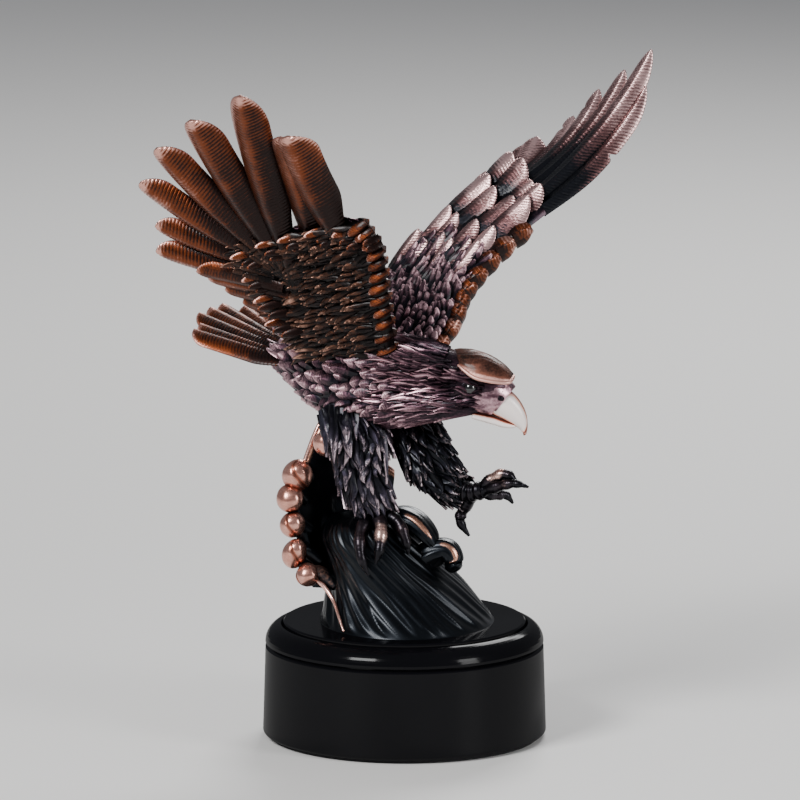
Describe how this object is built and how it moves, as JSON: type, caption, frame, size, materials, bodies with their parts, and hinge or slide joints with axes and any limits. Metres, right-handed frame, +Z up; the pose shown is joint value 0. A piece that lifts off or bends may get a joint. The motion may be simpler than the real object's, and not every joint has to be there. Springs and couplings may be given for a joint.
{
  "type": "eagle statuette",
  "caption": "Plated metal statuette of an eagle alighting on a breaking wave, wings raised, on a round stepped gloss plinth.",
  "frame": {"origin": "centre of the felt pad's underside, on the surface the statuette stands on", "axes": "+Z up; the beak points to +X; the right wing is held out towards -Y and the tail goes back towards -X and +Y"},
  "size_m": [0.2068, 0.1303, 0.2744],
  "materials": {
    "felt": "short black felt",
    "gloss_black": "deep gloss black lacquer with faint polishing haze",
    "steel": "plain zinc plated steel",
    "brass_insert": "turned brass",
    "dark_patina": "near-black blue-green patina, copper worn through on the edges",
    "bright_copper": "polished copper plate, dark in the recesses",
    "rose_copper": "rose copper plate over dark patina",
    "orange_copper": "orange-brown copper plate, bright on the feather tips",
    "blue_patina": "blue-black patina with worn highlights",
    "eye_black": "glossy black"
  },
  "bodies": {
    "root": {"felt_pad": "felt", "plinth_drum": "gloss_black", "plinth_cap": "gloss_black", "fixing_screw": "steel", "fixing_washer": "steel", "threaded_insert": "brass_insert", "locating_pins": "steel", "wave": "dark_patina", "wave_back_sheet": "dark_patina", "foam_curls": "bright_copper", "wave_front_crest": "dark_patina", "support_rod": "steel", "torso": "rose_copper", "head": "rose_copper", "eyes": "eye_black", "neck_pin": "steel", "right_wing": "orange_copper", "left_wing": "rose_copper", "wing_pins": "steel", "tail": "orange_copper", "tail_pin": "steel", "right_leg": "blue_patina", "left_leg": "blue_patina", "hip_pin": "steel"}
  },
  "joints": []
}
